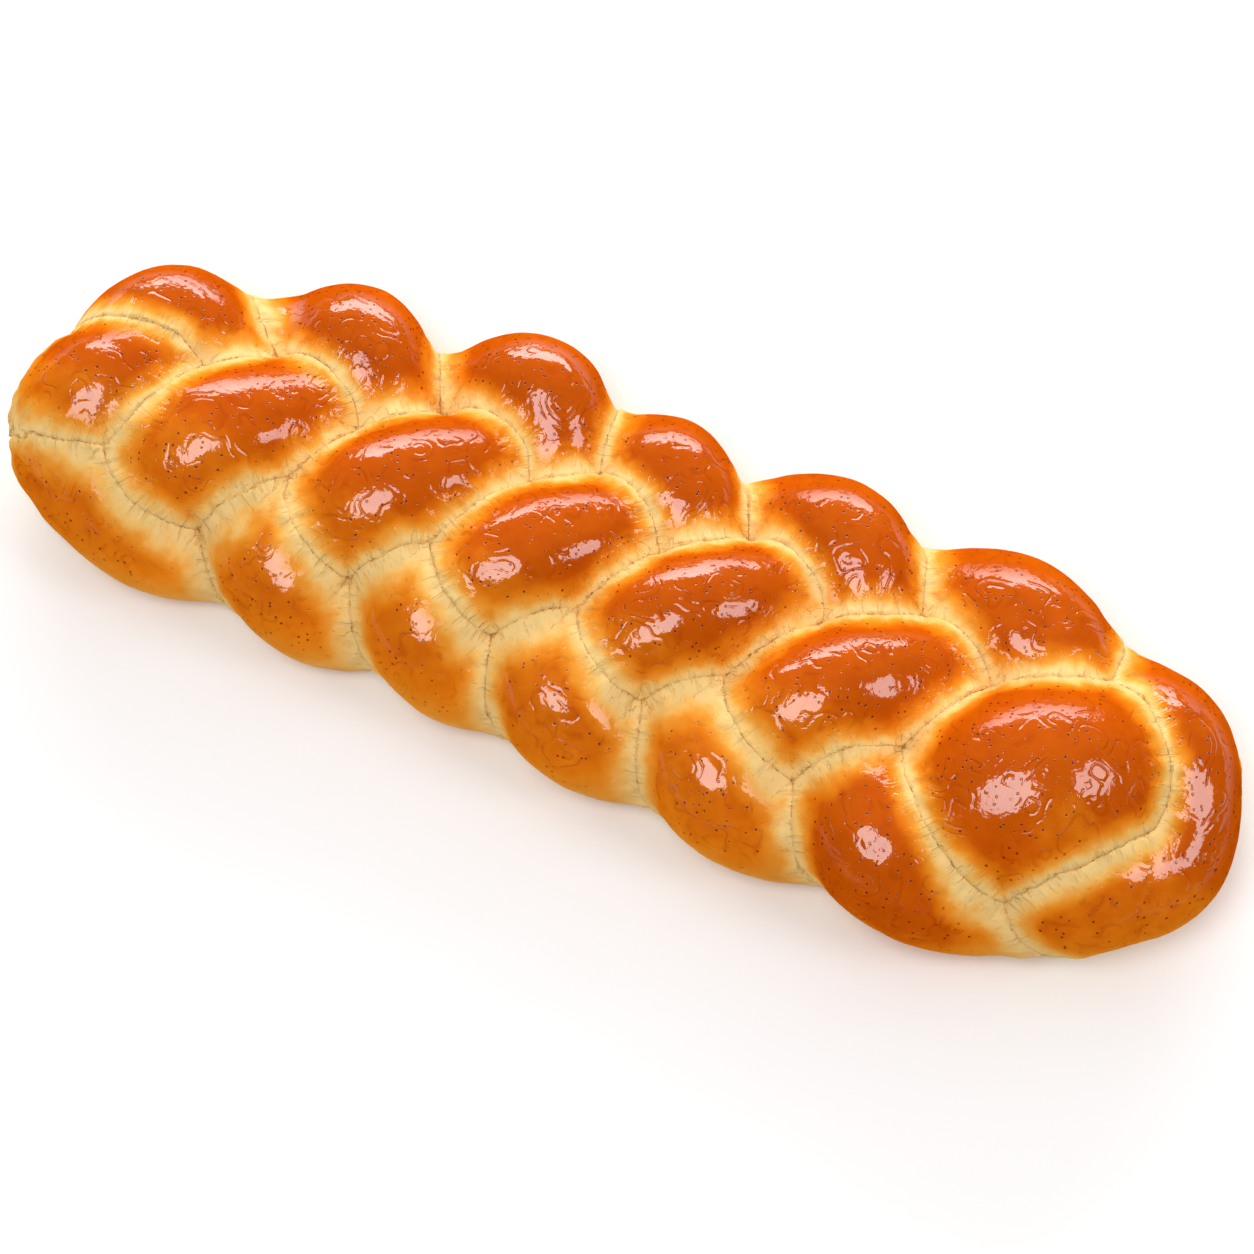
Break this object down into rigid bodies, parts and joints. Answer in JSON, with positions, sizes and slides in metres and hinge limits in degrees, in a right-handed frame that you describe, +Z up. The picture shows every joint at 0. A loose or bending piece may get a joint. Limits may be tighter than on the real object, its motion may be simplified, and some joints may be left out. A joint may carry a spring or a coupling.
{
  "type": "braided loaf",
  "caption": "Long plaited loaf of enriched bread with plump crossing lobes, glossy golden-brown crust and pale seams, flat underneath.",
  "frame": {"origin": "middle of the loaf's flat base, on the surface it rests on", "axes": "+X along the loaf towards its broad, folded end, +Y across it, +Z up"},
  "size_m": [0.399, 0.1314, 0.0604],
  "materials": {
    "crust": "egg-washed crust, golden brown and softly glossy on the lobes, cream and dull in the seams"
  },
  "bodies": {
    "root": {"braided_loaf": "crust"}
  },
  "joints": []
}
